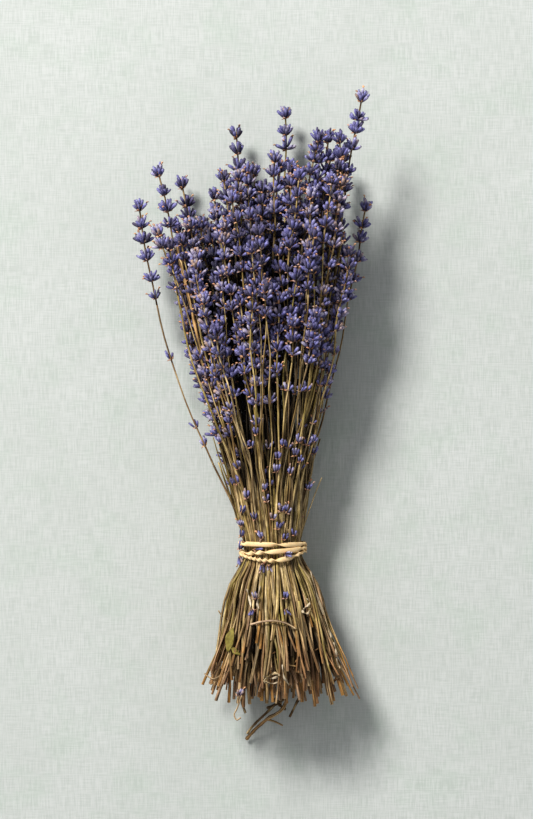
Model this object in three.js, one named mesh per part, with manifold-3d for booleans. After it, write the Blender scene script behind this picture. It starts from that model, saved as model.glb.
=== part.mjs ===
// A bunch of dried lavender, lying down, with a rubber band wound round its neck.
//
// It is built round the tie: x runs across the bunch, y along it towards the flowers and z up, in
// millimetres, with the surface that it lies on at z = 0. At the end the whole group is moved, so
// that its origin is under the middle of the bunch.
//
// A place in the bunch is given by its station y, an angle round the bunch and a reach, which is 0
// on the bunch's own axis and 1 at the ring of outer stems.

import * as THREE from 'three';
import { mergeVertices } from 'three/addons/utils/BufferGeometryUtils.js';
import Module from 'manifold-3d';

const wasm = await Module();
wasm.setup();

const { degToRad, lerp, smoothstep, clamp } = THREE.MathUtils;
const FULL_TURN = 2 * Math.PI;
const GOLDEN_TURN = Math.PI * (3 - Math.sqrt(5));

// The neck, where the band presses the stems into an oval
const NECK_HALF_WIDTH = 17.5; // to the centres of the outer stems
const NECK_HALF_DEPTH = 15.8;
const NECK_HALF_LENGTH = 7; // along which the stems run side by side
const NECK_SOFTNESS = 3; // roundness of the bend where they part

// How the bunch opens: what its half width and upper half depth gain on each millimetre of length
const FLOWER_FLARE = 0.21;
const FLOWER_RISE = 0.115;
const FOOT_FLARE = 0.4;
const FOOT_RISE = 0.2;
const FLOWER_DRIFT = -0.055; // sideways, because the bunch leans a little to the left
const FOOT_DRIFT = -0.03;
const TWIST = degToRad(12); // between the cut ends and the flowers

// How it lies: heights of the bunch's axis and of its lowest stems
const AXIS_HEIGHT = 27;
const AXIS_RISE = 0.03;
const LOWEST_FLOWER_STEM = 4.2;
const LOWEST_FOOT_STEM = -0.6; // below 0, so that the surface flattens the lowest cut ends
const FLOWERS_REST_FROM = 110; // stations from which the lowest stems keep those heights
const FEET_REST_FROM = 70;
const PRESSED_FLAT = 0.3; // 0 leaves the underside round

const BELOW_SURFACE = [800, 800, 100]; // a block that takes in all that would sink in

// Outer stems, in bundles that are fused at the neck
const BUNDLES = 8;
const STEMS_PER_BUNDLE = 6;
const STEM_HALF_DIAGONAL = 1.4; // a stem is square in section, 2 mm across its flats
const NECK_STEP = degToRad(5.9); // between neighbours in a bundle
const SPREAD_STEP = degToRad(7.2);
const SPREAD_AFTER = 120; // length along which a stem reaches its own place in the bunch
const LAYERS = [1, 0.8, 0.61]; // reach of the outer, middle and inner stems
const LOOSE_AFTER = 40; // length after which it strays from its line
const SWAY = 1.1; // sideways
const SWAY_UP = 0.66;
const SWAY_LENGTH = 45;
const SWAY_UP_PACE = 1.3;
const PLACE_SPREAD = 0.02; // of a stem's reach
const ANGLE_SPREAD = degToRad(1.2);
const STEM_STATIONS = [-30, -7, 7, 22, 60, 108, 160];
const SHORTEST_STRETCH = 7; // between two stations
const SHORTEST_FOOT = 69;
const LONGEST_FOOT = 93;
const CUT_BACK_AT_SIDE = 0.1; // of its foot, which an outer stem at the side is shorter
const CUT_BACK_ON_TOP = 0.17;

// Inner stems, which stand out of the packed middle of the neck
const INNER_STEMS = 24;
const INNER_REACH = 0.46;
const INNER_SIDES = 12;
const INNER_TOPS = [72, 120];
const BRANCH_HALF_DIAGONAL = 1;

// Flower heads
const WHORLS = 4; // below the top cluster
const LEADER_WHORLS = 5;
const BUDS = 5; // in a whorl
const LOWEST_TIPS = [122, 150, 180]; // stations, for the outer, middle and inner stems
const HIGHEST_TIPS = [232, 240, 250];
const FALL_OFF = 40; // by which the highest tips on the left are lower
const FALL_OFF_FROM = -32; // across the bunch
const FALL_OFF_TO = -48;
const FALL_OFF_TIPS = [200, 250]; // tips between which it grows
const TIP_SHUFFLE = 7; // steps between the heights of neighbouring tips in a layer
const TOP_CLUSTER = 9; // from the top cluster's root to its tip
const WHORL_SPACING = 8.2; // growing down the head
const SPACING_GROWTH = 0.5;
const STALK_BELOW = 3; // from the lowest whorl's root down to the stem
const STALK_RADIUS = 1.15;
const CORE_RADIUS = 2.5; // between two buds
const BUD_REACH = 7; // from the stalk's middle to a bud's tip
const BUD_RISE = 6; // of a bud's tip above the whorl's root
const NOTCH_RISE = 2;
const CROWN_RISE = 5;
const TOP_BUD_REACH = 3.6;
const TOP_CORE_RADIUS = 1.9;
const BUD_HALF_THICKNESS = 1;
const BUD_SHARES = [1, 0.8, 0.62, 0.46]; // of its full reach, for a bud that is hemmed in
const TESTED_ALONG = [0.4, 0.6, 0.8, 1]; // a bud, for what it would meet
const WHORL_SIZES = [0.9, 1.08];
const BUD_SIZES = [0.92, 1.05];
const RESERVED_RADIUS = 2.1; // round the stalk of a head
const GAP = 0.35; // kept between separate pieces

// The rubber band: each strand's mean station, how far it slants, how far it sags in front and how
// far it lies off the stems
const BAND_WIDTH = 2.8;
const BAND_THICKNESS = 1;
const BAND_SIDES = 24;
const BAND_GAP = 0.6; // to the stems, midway between the ring's corners
const STRANDS = [
  { station: 3.3, slant: -0.75, sag: 0, ride: 0 },
  { station: -1.3, slant: 1.9, sag: 0, ride: 0.3 },
  { station: -1.8, slant: 1.4, sag: 4, ride: 0.15 },
];

// Small pieces that lie on the cut ends
const ABOVE_STEMS = STEM_HALF_DIAGONAL + 2 * SWAY_UP + GAP; // from the ring of outer stems
const LEAF_LENGTH = 12;
const LEAF_WIDTH = 5;
const LEAF_THICKNESS = 0.8;
const LEAF_SEGMENTS = 5; // along each edge
const LEAF_AT = { x: -27.7, y: -58 };
const LEAF_SLANT = 3; // sideways from its foot to its tip
const LEAF_FACING = new THREE.Vector3(-0.5, 0, 0.87);
const LOOSE_STEM = [[-14, -43.5], [-7, -41.5], [1, -40.8], [8, -42.5], [14, -45.8]];
const LOOSE_STEM_HALF_DIAGONAL = 0.7;

// Sprigs that stand out of the bunch: where the tip is, how high in the bunch it runs, and how far
// the stem bows sideways on the way
const LEADERS = [
  { x: 53.5, y: 282, up: 0.3, bow: 0 },
  { x: 8, y: 275, up: -0.5, bow: 0 },
  { x: -23, y: 263, up: -0.5, bow: 0 },
  { x: 33, y: 257, up: 0.45, bow: 0 },
  { x: 44, y: 246, up: 0.12, bow: 0 },
  { x: -57, y: 232, up: -0.6, bow: 0 },
  { x: -71, y: 237, up: 0.22, bow: 0 },
  { x: -81, y: 217, up: -0.05, bow: -11 },
  { x: 57, y: 217, up: -0.15, bow: 0 },
];

const LOOKS = {
  bud: { color: 0x57508f, roughness: 0.9 },
  stem: { color: 0x8c8150, roughness: 0.8 },
  woodyStem: { color: 0x8a6a45, roughness: 0.85 },
  band: { color: 0xe9d09b, roughness: 0.6 },
  leaf: { color: 0x989a4a, roughness: 0.7 },
  straw: { color: 0xb59a76, roughness: 0.8 },
};

// Seeded draws, so that the bunch is the same every time
let seed = 4711;

function draw(low, high) {
  seed = (seed * 16807) % 2147483647;
  return lerp(low, high, seed / 2147483647);
}

// Solids

function toSolid(geometry) {
  geometry.deleteAttribute('normal');
  geometry.deleteAttribute('uv');
  const merged = mergeVertices(geometry, 1e-3);
  const corners = merged.index.array;
  const kept = [];
  for (let i = 0; i < corners.length; i += 3) {
    const [a, b, c] = corners.slice(i, i + 3);
    if (a !== b && b !== c && c !== a) kept.push(a, b, c);
  }
  return new wasm.Manifold(new wasm.Mesh({
    numProp: 3,
    vertProperties: merged.attributes.position.array,
    triVerts: Uint32Array.from(kept),
  }));
}

function join(solids) {
  return solids.reduce((joined, solid) => joined.add(solid));
}

// Moves every vertex of a geometry to where a formula puts it
function placeVertices(geometry, formula) {
  const position = geometry.attributes.position;
  for (let i = 0; i < position.count; i += 1) {
    const point = formula(position.getX(i), position.getY(i), position.getZ(i), i);
    position.setXYZ(i, point.x, point.y, point.z);
  }
}

const group = new THREE.Group();
const belowSurface = new THREE.BoxGeometry(...BELOW_SURFACE).translate(0, 0, -BELOW_SURFACE[2] / 2);
const surface = toSolid(belowSurface);

// What reaches below the surface is cut off flat, which gives the small spots that the bunch rests on
function addPiece(name, solid, look) {
  const mesh = solid.subtract(surface).getMesh();
  const geometry = new THREE.BufferGeometry();
  geometry.setAttribute('position', new THREE.BufferAttribute(mesh.vertProperties, 3));
  geometry.setIndex(new THREE.BufferAttribute(mesh.triVerts, 1));
  geometry.computeVertexNormals();
  const material = new THREE.MeshStandardMaterial({ ...look, metalness: 0 });
  const piece = new THREE.Mesh(geometry, material);
  piece.name = name;
  group.add(piece);
}

// The form of the bunch

function opened(y) {
  const beyond = Math.max(Math.abs(y) - NECK_HALF_LENGTH, 0);
  return Math.hypot(beyond, NECK_SOFTNESS) - NECK_SOFTNESS;
}

function place(reach, angle, y) {
  const toFlowers = y > 0;
  const flare = opened(y) * (toFlowers ? FLOWER_FLARE : FOOT_FLARE);
  const rise = opened(y) * (toFlowers ? FLOWER_RISE : FOOT_RISE);
  const resting = smoothstep(Math.abs(y), 0, toFlowers ? FLOWERS_REST_FROM : FEET_REST_FROM);
  const lowest = lerp(
    AXIS_HEIGHT - NECK_HALF_DEPTH,
    toFlowers ? LOWEST_FLOWER_STEM : LOWEST_FOOT_STEM,
    resting,
  );
  const axis = AXIS_HEIGHT + AXIS_RISE * Math.abs(y);
  const across = reach * Math.cos(angle);
  const up = reach * Math.sin(angle);
  const x = y * (toFlowers ? FLOWER_DRIFT : FOOT_DRIFT) + (NECK_HALF_WIDTH + flare) * across;
  const z = up > 0
    ? axis + (NECK_HALF_DEPTH + rise) * up
    : axis - (axis - lowest) * (-up) ** (1 - PRESSED_FLAT * resting);
  return new THREE.Vector3(x, y, z);
}

// How far a sideways position is from the axis, as a share of the outer stems' half width
function shareAcross(x, y) {
  const axis = place(0, 0, y);
  return (x - axis.x) / (place(1, 0, y).x - axis.x);
}

function onTop(x, y, height) {
  const point = place(1, Math.acos(shareAcross(x, y)), y);
  point.z += height;
  return point;
}

// A stem's line: it holds its place in the neck and moves over to its places at both ends
function pointOn(stem, y) {
  const end = y > 0 ? stem.flower : stem.foot;
  const spread = smoothstep(Math.abs(y), NECK_HALF_LENGTH, SPREAD_AFTER);
  const point = place(
    lerp(stem.neck.reach, end.reach, spread),
    lerp(stem.neck.angle, end.angle, spread),
    y,
  );
  const loose = clamp(opened(y) / LOOSE_AFTER, 0, 1);
  const turn = y / SWAY_LENGTH + stem.phase;
  point.x += loose * SWAY * Math.sin(turn);
  point.z += loose * SWAY_UP * (1 + Math.cos(SWAY_UP_PACE * turn));
  if (y > 0) point.x += loose * stem.bow * Math.sin((Math.PI * y) / stem.tip);
  return point;
}

// A point beside a stem, at right angles to it
function pointBeside(stem, y, radius, angle) {
  const point = pointOn(stem, y);
  const ahead = pointOn(stem, y + 1).sub(point).normalize();
  const side = new THREE.Vector3(0, 0, 1).cross(ahead).normalize();
  const lift = new THREE.Vector3().crossVectors(ahead, side);
  return point
    .addScaledVector(side, radius * Math.cos(angle))
    .addScaledVector(lift, radius * Math.sin(angle));
}

// A curve that a tube follows with a section at each of its points
class Polyline extends THREE.CatmullRomCurve3 {
  getUtoTmapping(u) {
    return u;
  }
}

function tube(points, halfDiagonal) {
  const section = new THREE.Shape();
  section.moveTo(halfDiagonal, 0);
  section.lineTo(0, halfDiagonal);
  section.lineTo(-halfDiagonal, 0);
  section.lineTo(0, -halfDiagonal);
  section.closePath();
  const extrudePath = new Polyline(points);
  return toSolid(new THREE.ExtrudeGeometry(section, { steps: points.length - 1, extrudePath }));
}

function stemPoints(stem) {
  const between = STEM_STATIONS.filter((y) => (
    y > stem.cut + SHORTEST_STRETCH && y < stem.top - SHORTEST_STRETCH
  ));
  return [stem.cut, ...between, stem.top].map((y) => pointOn(stem, y));
}

// From a head's tip down to the root of a whorl, where whorl 0 is the top cluster
function depthOfWhorl(whorl) {
  return TOP_CLUSTER + WHORL_SPACING * whorl + SPACING_GROWTH * whorl * whorl;
}

// Where each outer stem runs
const stems = [];
const perLayer = (BUNDLES * STEMS_PER_BUNDLE) / LAYERS.length;
for (let bundle = 0; bundle < BUNDLES; bundle += 1) {
  for (let i = 0; i < STEMS_PER_BUNDLE; i += 1) {
    const middle = ((bundle + 0.5) * FULL_TURN) / BUNDLES;
    const aside = i - (STEMS_PER_BUNDLE - 1) / 2;
    const layer = i % LAYERS.length;
    const footLayer = (i + bundle) % LAYERS.length;
    const order = (Math.floor(stems.length / LAYERS.length) * TIP_SHUFFLE) % perLayer;
    stems.push({
      bundle,
      neck: { reach: 1, angle: middle + aside * NECK_STEP },
      flower: {
        reach: LAYERS[layer] + draw(-PLACE_SPREAD, PLACE_SPREAD),
        angle: middle + aside * SPREAD_STEP + TWIST / 2 + draw(-ANGLE_SPREAD, ANGLE_SPREAD),
      },
      foot: {
        reach: LAYERS[footLayer] + draw(-PLACE_SPREAD, PLACE_SPREAD),
        angle: middle + aside * SPREAD_STEP - TWIST / 2 + draw(-ANGLE_SPREAD, ANGLE_SPREAD),
      },
      tip: lerp(LOWEST_TIPS[layer], HIGHEST_TIPS[layer], (order + draw(0.1, 0.9)) / perLayer),
      cut: -draw(SHORTEST_FOOT, LONGEST_FOOT),
      whorls: WHORLS,
      phase: draw(0, FULL_TURN),
      bow: 0,
    });
  }
}

function turnFrom(a, b) {
  return Math.atan2(Math.sin(b - a), Math.cos(b - a));
}

for (const leader of LEADERS) {
  const across = shareAcross(leader.x, leader.y);
  const angle = Math.atan2(leader.up, across);
  const free = stems.filter((stem) => stem.whorls === WHORLS);
  const miss = (stem) => Math.abs(turnFrom(stem.flower.angle, angle));
  const nearest = free.reduce((best, stem) => (miss(stem) < miss(best) ? stem : best));
  nearest.flower.reach = Math.hypot(across, leader.up);
  nearest.flower.angle += turnFrom(nearest.flower.angle, angle);
  nearest.tip = leader.y;
  nearest.bow = leader.bow;
  nearest.whorls = LEADER_WHORLS;
}

// The cut ends make a blunt cone: the outer stems on top and at the sides are cut shorter
function cutBack(angle) {
  return CUT_BACK_AT_SIDE * Math.abs(Math.cos(angle)) + CUT_BACK_ON_TOP * Math.max(Math.sin(angle), 0);
}

// The mass of the flowers falls off to the left, and only the leaders stand out of it there
function fallOff(stem) {
  const toLeft = smoothstep(-pointOn(stem, stem.tip).x, -FALL_OFF_FROM, -FALL_OFF_TO);
  return FALL_OFF * toLeft * smoothstep(stem.tip, ...FALL_OFF_TIPS);
}

for (const stem of stems) {
  if (stem.whorls === WHORLS) stem.tip -= fallOff(stem);
  stem.top = stem.tip - depthOfWhorl(stem.whorls) - STALK_BELOW;
  stem.cut *= 1 - cutBack(stem.foot.angle);
}

// Stem bundles
for (let bundle = 0; bundle < BUNDLES; bundle += 1) {
  const tubes = stems
    .filter((stem) => stem.bundle === bundle)
    .map((stem) => tube(stemPoints(stem), STEM_HALF_DIAGONAL));
  addPiece(`stem_bundle_${bundle + 1}`, join(tubes), LOOKS.stem);
}

// Inner stems
const innerStems = [];
for (let i = 0; i < INNER_STEMS; i += 1) {
  const reach = INNER_REACH * Math.sqrt((i + 1) / INNER_STEMS);
  const angle = i * GOLDEN_TURN;
  innerStems.push({
    neck: { reach, angle },
    flower: { reach, angle: angle + TWIST / 2 },
    foot: { reach, angle: angle - TWIST / 2 },
    cut: -draw(SHORTEST_FOOT, LONGEST_FOOT),
    top: draw(...INNER_TOPS),
    tip: INNER_TOPS[1],
    phase: draw(0, FULL_TURN),
    bow: 0,
  });
}

// The packed middle of the neck, which narrows to both ends: reach and station down its outline
const middleOutline = [[0, -44], [0.5, -30], [0.88, -7], [0.88, 7], [0.5, 36], [0, 54]];
const middle = new THREE.LatheGeometry(
  middleOutline.map(([reach, station]) => new THREE.Vector2(reach, station)),
  INNER_SIDES,
);
placeVertices(middle, (x, station, z) => place(Math.hypot(x, z), Math.atan2(z, x), station));

// A woody twig with a fork, which reaches past the cut ends
const twigFork = new THREE.Vector3(-4, -105, 9);
const twig = [
  place(0.2, degToRad(-60), -20),
  place(0.35, degToRad(-65), -55),
  place(0.42, degToRad(-75), -93),
  twigFork,
  new THREE.Vector3(-16.6, -118, 2.5),
];
const twigBranch = [twigFork, new THREE.Vector3(6, -109, 6)];
addPiece(
  'inner_stems',
  join([
    toSolid(middle),
    ...innerStems.map((stem) => tube(stemPoints(stem), STEM_HALF_DIAGONAL)),
    tube(twig, STEM_HALF_DIAGONAL),
    tube(twigBranch, BRANCH_HALF_DIAGONAL),
  ]),
  LOOKS.woodyStem,
);

// Flower heads: on each outer stem a stalk with whorls of buds, one surface from its foot to its tip.
// Each whorl is a ring of bud tips with notches between them, and then a ring as narrow as the stalk.
// A bud that would meet another piece is shorter.

const obstacles = [];

function addObstacle(owner, points, radius) {
  for (let i = 1; i < points.length; i += 1) {
    obstacles.push({ owner, radius, line: new THREE.Line3(points[i - 1], points[i]) });
  }
}

for (const stem of [...stems, ...innerStems]) {
  addObstacle(stem, stemPoints(stem), STEM_HALF_DIAGONAL);
}
for (const stem of stems) {
  const stations = [stem.top, (stem.top + stem.tip) / 2, stem.tip];
  addObstacle(stem, stations.map((y) => pointOn(stem, y)), RESERVED_RADIUS);
}

const nearestPoint = new THREE.Vector3();

function isClear(owner, point) {
  return obstacles.every((obstacle) => {
    if (obstacle.owner === owner) return true;
    obstacle.line.closestPointToPoint(point, true, nearestPoint);
    return nearestPoint.distanceTo(point) > BUD_HALF_THICKNESS + obstacle.radius + GAP;
  });
}

// The point that a bud or a notch reaches from its root: all the way, or as far as it stays clear
function reachOut(stem, root, rise, reach, angle) {
  const pointAt = (share) => pointBeside(stem, root + rise * share, reach * share, angle);
  const share = BUD_SHARES.find((longest) => (
    TESTED_ALONG.every((along) => isClear(stem, pointAt(longest * along)))
  ));
  return share ? pointAt(share) : pointBeside(stem, root + NOTCH_RISE, STALK_RADIUS, angle);
}

function flowerHead(stem) {
  const sides = 2 * BUDS;
  const turn = draw(0, FULL_TURN);
  const rings = [];
  const addRing = (pointAt) => {
    rings.push(Array.from({ length: sides }, (_, i) => pointAt(turn + (i * FULL_TURN) / sides, i)));
  };
  const addPlainRing = (y, radius) => addRing((angle) => pointBeside(stem, y, radius, angle));
  const addWhorl = (root, budReach, coreRadius) => {
    const size = draw(...WHORL_SIZES);
    addRing((angle, i) => (i % 2 === 0
      ? reachOut(stem, root, BUD_RISE * size, budReach * size * draw(...BUD_SIZES), angle)
      : reachOut(stem, root, NOTCH_RISE, coreRadius, angle)
    ));
    const heart = pointOn(stem, root + NOTCH_RISE);
    for (const tip of rings.at(-1)) addObstacle(stem, [heart, tip], BUD_HALF_THICKNESS);
  };

  addPlainRing(stem.top + GAP, 0);
  addPlainRing(stem.top + GAP, STALK_RADIUS);
  for (let whorl = stem.whorls; whorl > 0; whorl -= 1) {
    const root = stem.tip - depthOfWhorl(whorl);
    addWhorl(root, BUD_REACH, CORE_RADIUS);
    addPlainRing(root + CROWN_RISE, STALK_RADIUS);
  }
  addWhorl(stem.tip - TOP_CLUSTER, TOP_BUD_REACH, TOP_CORE_RADIUS);
  addPlainRing(stem.tip, 0);

  const outline = rings.map((_, i) => {
    const onAxis = i === 0 || i === rings.length - 1;
    return new THREE.Vector2(onAxis ? 0 : STALK_RADIUS, i);
  });
  const head = new THREE.LatheGeometry(outline, sides);
  placeVertices(head, (x, y, z, i) => (
    rings[i % rings.length][Math.floor(i / rings.length) % sides]
  ));
  return toSolid(head);
}

stems.forEach((stem, i) => {
  const number = String(i + 1).padStart(2, '0');
  addPiece(`flower_head_${number}`, flowerHead(stem), LOOKS.bud);
});

// Rubber band: three strands round the neck, which cross and are fused where they do. Each starts as
// a round ring, whose distance from its inner radius is kept as the distance from the stems.
function strand({ station, slant, sag, ride }) {
  const half = BAND_WIDTH / 2;
  const inner = NECK_HALF_DEPTH;
  const outer = inner + BAND_THICKNESS;
  const section = [[inner, -half], [outer, -half], [outer, half], [inner, half], [inner, -half]];
  const ring = new THREE.LatheGeometry(section.map(([r, y]) => new THREE.Vector2(r, y)), BAND_SIDES);
  placeVertices(ring, (x, y, z) => {
    const angle = Math.atan2(z, x);
    const offStems = STEM_HALF_DIAGONAL + BAND_GAP + ride + Math.hypot(x, z) - inner;
    const along = station + slant * Math.cos(angle) - sag * Math.sin(angle) ** 2;
    return place(1 + offStems / NECK_HALF_DEPTH, angle, along + y);
  });
  return toSolid(ring);
}

addPiece('rubber_band', join(STRANDS.map(strand)), LOOKS.band);

// Dry leaf, caught on the stems near their cut ends
const leafOutline = new THREE.Shape();
leafOutline.moveTo(0, 0);
leafOutline.quadraticCurveTo(LEAF_WIDTH, LEAF_LENGTH / 2, 0, LEAF_LENGTH);
leafOutline.quadraticCurveTo(-LEAF_WIDTH, LEAF_LENGTH / 2, 0, 0);
const leaf = new THREE.ExtrudeGeometry(leafOutline, {
  depth: LEAF_THICKNESS,
  bevelEnabled: false,
  curveSegments: LEAF_SEGMENTS,
});
const leafFoot = onTop(LEAF_AT.x, LEAF_AT.y, ABOVE_STEMS);
const leafTip = onTop(LEAF_AT.x + LEAF_SLANT, LEAF_AT.y + LEAF_LENGTH, ABOVE_STEMS);
const leafAhead = leafTip.clone().sub(leafFoot).normalize();
const leafSide = leafAhead.clone().cross(LEAF_FACING).normalize();
const leafUp = leafSide.clone().cross(leafAhead);
leaf.applyMatrix4(new THREE.Matrix4().makeBasis(leafSide, leafAhead, leafUp));
leaf.translate(leafFoot.x, leafFoot.y, leafFoot.z);
addPiece('dry_leaf', toSolid(leaf), LOOKS.leaf);

// Loose stem, arched over the cut ends
const looseHeight = ABOVE_STEMS + LOOSE_STEM_HALF_DIAGONAL;
const loosePoints = LOOSE_STEM.map(([x, y]) => onTop(x, y, looseHeight));
addPiece('loose_stem', tube(loosePoints, LOOSE_STEM_HALF_DIAGONAL), LOOKS.straw);

// The origin goes under the middle of the bunch
const box = new THREE.Box3().setFromObject(group);
const centre = box.getCenter(new THREE.Vector3());
group.position.set(-centre.x, -centre.y, -box.min.z);

export default group;
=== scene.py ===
import random
from math import acos, atan2, cos, hypot, pi, radians, sin, sqrt
from types import SimpleNamespace

import bmesh
import bpy
from mathutils import Matrix, Vector
from mathutils.bvhtree import BVHTree
from mathutils.kdtree import KDTree


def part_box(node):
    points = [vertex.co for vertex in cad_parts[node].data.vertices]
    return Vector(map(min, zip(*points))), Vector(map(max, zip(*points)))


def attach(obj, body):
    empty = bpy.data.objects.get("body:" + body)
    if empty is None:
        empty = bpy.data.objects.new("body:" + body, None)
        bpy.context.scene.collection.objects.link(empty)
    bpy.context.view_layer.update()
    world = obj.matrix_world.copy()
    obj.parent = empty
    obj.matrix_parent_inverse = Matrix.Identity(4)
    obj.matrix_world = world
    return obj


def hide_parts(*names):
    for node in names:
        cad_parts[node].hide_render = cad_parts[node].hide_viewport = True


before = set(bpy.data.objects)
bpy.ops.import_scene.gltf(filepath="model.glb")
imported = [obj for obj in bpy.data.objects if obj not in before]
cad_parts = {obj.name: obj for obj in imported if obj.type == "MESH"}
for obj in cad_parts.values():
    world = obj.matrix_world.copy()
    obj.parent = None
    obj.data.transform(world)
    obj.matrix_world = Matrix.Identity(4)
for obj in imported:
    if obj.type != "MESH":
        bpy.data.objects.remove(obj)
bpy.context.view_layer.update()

# Outer stems: forty-eight dried lavender stems in eight bundles, nearly square in section, straw and
# olive above the band and browner towards the cut ends. They are gathered by hand, held at the neck
# by the band and cut across, and each keeps its own line from its cut end to its flowers.

# Lengths are in millimetres from the tie: x across the bunch, y towards the flowers and z up
FULL_TURN = 2 * pi
GOLDEN_TURN = pi * (3 - sqrt(5))
UP = Vector((0, 0, 1))
NECK_HALF_WIDTH = 17.5
NECK_HALF_DEPTH = 15.8
NECK_HALF_LENGTH = 7
NECK_SOFTNESS = 3
# For each millimetre of length, how far an end opens, rises and drifts sideways, then the height of
# its lowest stem and from where on that rests
FLOWER_END = (0.21, 0.115, -0.055, 4.2, 110)
FOOT_END = (0.4, 0.2, -0.03, -0.6, 70)
TWIST = radians(12)
AXIS_HEIGHT = 27
AXIS_RISE = 0.03
PRESSED_FLAT = 0.3
BUNDLES = 8
STEMS_PER_BUNDLE = 6
STEM_HALF_DIAGONAL = 1.4
NECK_STEP = radians(5.9)
SPREAD_STEP = radians(7.2)
SPREAD_AFTER = 120
LAYERS = [1, 0.8, 0.61]
LOOSE_AFTER = 40
SWAY = 1.1
SWAY_UP = 0.66
SWAY_LENGTH = 45
SWAY_UP_PACE = 1.3
RIPPLE_LENGTH = 8
PLACE_SPREAD = 0.02
ANGLE_SPREAD = radians(1.2)
FOOT_LENGTHS = [69, 93]
CUT_BACK_AT_SIDE = 0.1  # of its foot, which an outer stem at the side is shorter
CUT_BACK_ON_TOP = 0.17
WHORLS = 4
LEADER_WHORLS = 5
LOWEST_TIPS = [122, 150, 180]
HIGHEST_TIPS = [232, 240, 250]
FALL_OFF = 40  # by which the highest tips on the left are lower
FALL_OFF_ACROSS = [32, 48]  # left of the tie
FALL_OFF_TIPS = [200, 250]  # between which it grows
TIP_SHUFFLE = 7
TOP_CLUSTER = 9
WHORL_SPACING = 8.2
SPACING_GROWTH = 0.5
STALK_BELOW = 3
LEADERS = [  # x and y of the tip, how far up the head lies, and how far it bows and nods sideways
    (53.5, 282, 0.3, 0, 2), (8, 275, -0.5, 0, -1), (-23, 263, -0.5, 0, -1),
    (33, 257, 0.45, 0, 1), (44, 246, 0.12, 0, -1), (-57, 232, -0.6, 0, -1.5),
    (-71, 237, 0.22, 0, 1), (-81, 217, -0.05, -11, -1), (57, 217, -0.15, 0, 1),
]
LONGEST_LEADER = 282
STEM_SIDES = 8
STEM_STEP = 10  # between two rings of a stem
STEM_FLUTE = 0.8  # of the half diagonal, at the middle of a side
STEM_TAPER = 0.66  # of the half diagonal, that is left under the flowers
TAPERS = [8, 95]  # stations between which it tapers
OUTER_THICKNESS = [0.58, 0.8]  # of the half diagonal, when the stem has dried
NECK_UNEVEN = 0.09  # of a stem's reach
NECK_RIPPLE = 0.35
STEM_SPIRAL = 0.006  # turn of the section, to a millimetre of length
CUT_EDGE = 0.15
PITH_SHARE = 0.72
# Painted shade: stems and heads deeper in the bunch get a darker colour, less at free tips and ends
FULL_SHADE_REACH = 0.76  # reach within which the stems and flowers get their full painted shade
NO_SHADE_REACH = 1.0
FREE_TIPS = 0.85  # of that painted shade, which the highest tips are without
FREE_TIPS_AT = [150, 222]  # stations between which that share grows
FREE_ENDS = 0.75
FREE_ENDS_AT = [52, 84]  # below the band
BULGE_ON_TOP = 0.3  # of the bulge at the sides
BULGE_AT = [1, 14]  # below the band, between which it grows
BULGE_LOST = 0.92
BULGE_LOST_AT = [14, 58]
BULGE_ABOVE = 0.4  # of the bulge below the band
ABOVE_AT = [5, 14]
ABOVE_LOST_AT = [20, 60]
NOD_LENGTH = 62  # from a tip down, along which its head nods sideways
UV_STRETCH = 0.05  # of the pattern's length, to a millimetre of stem
MILLIMETRE = 0.001

band_low, band_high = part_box("rubber_band")
tie = Vector(((band_low.x + band_high.x) / 2, 0, 0))
tie.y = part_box("flower_head_02")[1].y - LONGEST_LEADER * MILLIMETRE
seed = 4711
chance = random.Random(27)
between = chance.uniform


def lerp(low, high, share):
    return low + (high - low) * share


def smoothstep(value, low, high):
    share = min(max((value - low) / (high - low), 0), 1)
    return share * share * (3 - 2 * share)


def draw(low, high):
    """The next draw of the series that the stems' places come from"""
    global seed
    seed = seed * 16807 % 2147483647
    return lerp(low, high, seed / 2147483647)


def opened(y):
    return hypot(max(abs(y) - NECK_HALF_LENGTH, 0), NECK_SOFTNESS) - NECK_SOFTNESS


def place(reach, angle, y):
    """A point of the bunch from its reach, 0 on the axis and 1 at the outer stems, and its angle"""
    flare, rise, drift, resting_stem, rests_from = FLOWER_END if y > 0 else FOOT_END
    resting = smoothstep(abs(y), 0, rests_from)
    lowest = lerp(AXIS_HEIGHT - NECK_HALF_DEPTH, resting_stem, resting)
    axis = AXIS_HEIGHT + AXIS_RISE * abs(y)
    up = reach * sin(angle)
    x = y * drift + (NECK_HALF_WIDTH + opened(y) * flare) * reach * cos(angle)
    if up > 0:
        return Vector((x, y, axis + (NECK_HALF_DEPTH + opened(y) * rise) * up))
    return Vector((x, y, axis - (axis - lowest) * (-up) ** (1 - PRESSED_FLAT * resting)))


def share_across(x, y):
    axis = place(0, 0, y).x
    return (x - axis) / (place(1, 0, y).x - axis)


def point_on(stem, y):
    """A stem's line: it holds its place in the neck and moves over to its places at both ends"""
    end = stem.flower if y > 0 else stem.foot
    spread = smoothstep(abs(y), NECK_HALF_LENGTH, SPREAD_AFTER)
    point = place(reach_of(stem, y), lerp(stem.neck[1], end[1], spread), y)
    loose = min(opened(y) / LOOSE_AFTER, 1)
    turn = y / SWAY_LENGTH + stem.phase
    point.x += loose * stem.sway * SWAY * sin(turn)
    rippling = max(loose, NECK_RIPPLE) * stem.ripple
    point.x += rippling * sin(y / RIPPLE_LENGTH + stem.phase)
    point.z += loose * stem.sway * SWAY_UP * (1 + cos(SWAY_UP_PACE * turn))
    if y > 0:
        point.x += loose * stem.bow * sin(pi * y / stem.tip)
        point.x += loose * stem.nod * smoothstep(y, stem.tip - NOD_LENGTH, stem.tip)
    point.z = max(point.z, STEM_HALF_DIAGONAL * STEM_FLUTE)
    return point


def depth_of_whorl(whorl):
    return TOP_CLUSTER + WHORL_SPACING * whorl + SPACING_GROWTH * whorl * whorl


def top_under_whorls(stem):
    """Where a stem ends and the stalk of its head begins"""
    return stem.tip - depth_of_whorl(stem.whorls) * stem.pitch - STALK_BELOW


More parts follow.
